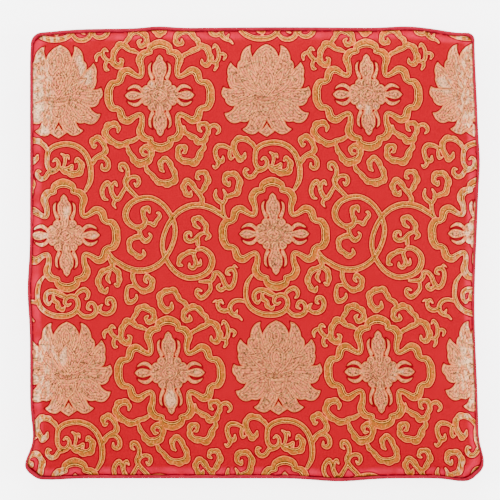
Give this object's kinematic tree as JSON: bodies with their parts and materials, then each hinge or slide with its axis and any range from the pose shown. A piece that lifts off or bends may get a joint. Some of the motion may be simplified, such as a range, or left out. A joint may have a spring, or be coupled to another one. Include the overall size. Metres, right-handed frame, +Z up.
{
  "type": "seat cushion",
  "caption": "Square box seat cushion for the floor or a chair, filled and gently crowned, with piping sewn into its upper and lower seams.",
  "frame": {"origin": "under the middle of the cushion, on the surface that it lies on", "axes": "+Z up through the crown of the top panel, +X to the right and +Y to the back, along the sides of the square"},
  "size_m": [0.4585, 0.455, 0.0499],
  "materials": {
    "brocade": "red satin ground woven with a gold and peach lotus scroll and lobed medallions, soft sheen",
    "satin": "plain red satin over a cord, soft sheen along the top of the cord"
  },
  "bodies": {
    "root": {"cushion": "brocade", "piping_top": "satin", "piping_bottom": "satin"}
  },
  "joints": []
}
